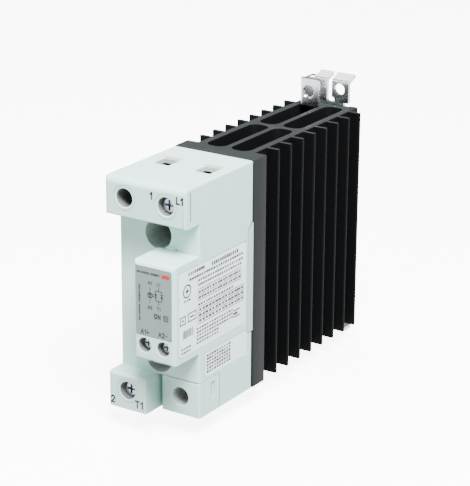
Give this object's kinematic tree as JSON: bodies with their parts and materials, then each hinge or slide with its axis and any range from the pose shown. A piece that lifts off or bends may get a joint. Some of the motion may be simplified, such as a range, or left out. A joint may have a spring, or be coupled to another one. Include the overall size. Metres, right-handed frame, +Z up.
{
  "type": "solid state relay",
  "caption": "Slim solid state relay in a moulded housing on a finned heat sink, with screw clamp terminals, a status lamp, a sprung rail latch and an earth terminal.",
  "frame": {"origin": "bottom centre of the whole relay's box, level with the underside of the rail latch's foot", "axes": "+X to the right seen from the terminals, +Y towards the rail, +Z up along the heat sink's fins"},
  "size_m": [0.035, 0.141, 0.1089],
  "materials": {
    "housing_plastic": "fine moulded grain, light grey",
    "control_plastic": "fine moulded grain, pale grey",
    "label_grey": "grey printed face plate",
    "sticker_white": "white film sticker",
    "lamp_clear": "dark clear light guide",
    "lamp_green": "green lamp",
    "black_anodised": "black anodised extrusion",
    "zinc_steel": "bright zinc plating",
    "screw_steel": "nickel plating",
    "tinned_copper": "tinned copper strip",
    "brass": "plain brass strip",
    "ceramic_white": "matt white ceramic",
    "silicon": "polished silicon",
    "board_green": "green circuit board",
    "moulding_black": "black moulding compound",
    "epoxy_blue": "blue epoxy coating",
    "moulding_tan": "tan moulding"
  },
  "bodies": {
    "relay_body": {"housing": "housing_plastic", "blank_terminal_cover": "housing_plastic", "carrier_frame": "housing_plastic", "control_cover": "control_plastic", "front_label": "label_grey", "rating_label": "sticker_white", "notes_label": "sticker_white", "lamp_window": "lamp_clear", "status_led": "lamp_green", "heat_sink": "black_anodised", "rail_clip": "zinc_steel", "latch_spring": "screw_steel", "spring_pin": "screw_steel", "clip_screw_left": "screw_steel", "clip_screw_right": "screw_steel", "guide_screw_left": "screw_steel", "guide_screw_right": "screw_steel", "upper_fixing_screw": "screw_steel", "lower_fixing_screw": "screw_steel", "line_busbar": "tinned_copper", "load_busbar": "tinned_copper", "a1_contact": "brass", "a2_contact": "brass", "ceramic_substrate": "ceramic_white", "thyristor_chip_a": "silicon", "thyristor_chip_b": "silicon", "gate_pin_a": "screw_steel", "gate_pin_b": "screw_steel", "power_board": "board_green", "control_board": "board_green", "opto_driver": "moulding_black", "board_plug": "moulding_black", "varistor": "epoxy_blue", "snubber_capacitor": "moulding_tan", "snubber_resistor": "moulding_tan"},
    "line_screw": {"line_clamp_screw": "screw_steel"},
    "line_cage": {"line_clamp_cage": "zinc_steel"},
    "load_screw": {"load_clamp_screw": "screw_steel"},
    "load_cage": {"load_clamp_cage": "zinc_steel"},
    "a1_driver": {"a1_screw": "screw_steel"},
    "a1_clamp": {"a1_cage": "zinc_steel"},
    "a2_driver": {"a2_screw": "screw_steel"},
    "a2_clamp": {"a2_cage": "zinc_steel"},
    "latch": {"rail_latch": "zinc_steel"}
  },
  "joints": [
    {"name": "line_cage_slide", "type": "slide", "parent": "relay_body", "child": "line_cage", "axis": [0, -1, 0], "range_m": [0, 0.004]},
    {"name": "line_screw_turn", "type": "hinge", "parent": "relay_body", "child": "line_screw", "pos_m": [0.0089, -0.06115, 0.0894], "axis": [0, 1, 0], "range_deg": [0, 1802]},
    {"name": "load_cage_slide", "type": "slide", "parent": "relay_body", "child": "load_cage", "axis": [0, -1, 0], "range_m": [0, 0.004]},
    {"name": "load_screw_turn", "type": "hinge", "parent": "relay_body", "child": "load_screw", "pos_m": [-0.0089, -0.06045, 0.01528], "axis": [0, 1, 0], "range_deg": [0, 1802]},
    {"name": "a1_cage_slide", "type": "slide", "parent": "relay_body", "child": "a1_clamp", "axis": [0, -1, 0], "range_m": [0, 0.002]},
    {"name": "a1_screw_turn", "type": "hinge", "parent": "relay_body", "child": "a1_driver", "pos_m": [0.00438, -0.06795, 0.0389], "axis": [0, 1, 0], "range_deg": [0, 1442]},
    {"name": "a2_cage_slide", "type": "slide", "parent": "relay_body", "child": "a2_clamp", "axis": [0, -1, 0], "range_m": [0, 0.002]},
    {"name": "a2_screw_turn", "type": "hinge", "parent": "relay_body", "child": "a2_driver", "pos_m": [0.01239, -0.06795, 0.0389], "axis": [0, 1, 0], "range_deg": [0, 1442]},
    {"name": "rail_latch_slide", "type": "slide", "parent": "relay_body", "child": "latch", "axis": [0, 0, -1], "range_m": [0, 0.005], "stiffness_N_per_m": 700, "springref_m": -0.007, "deforming": ["latch_spring"]}
  ],
  "couplings": [
    {"joint": "line_screw_turn", "follows": "line_cage_slide", "rad_per_m": 7854},
    {"joint": "load_screw_turn", "follows": "load_cage_slide", "rad_per_m": 7854},
    {"joint": "a1_screw_turn", "follows": "a1_cage_slide", "rad_per_m": 12566},
    {"joint": "a2_screw_turn", "follows": "a2_cage_slide", "rad_per_m": 12566}
  ]
}
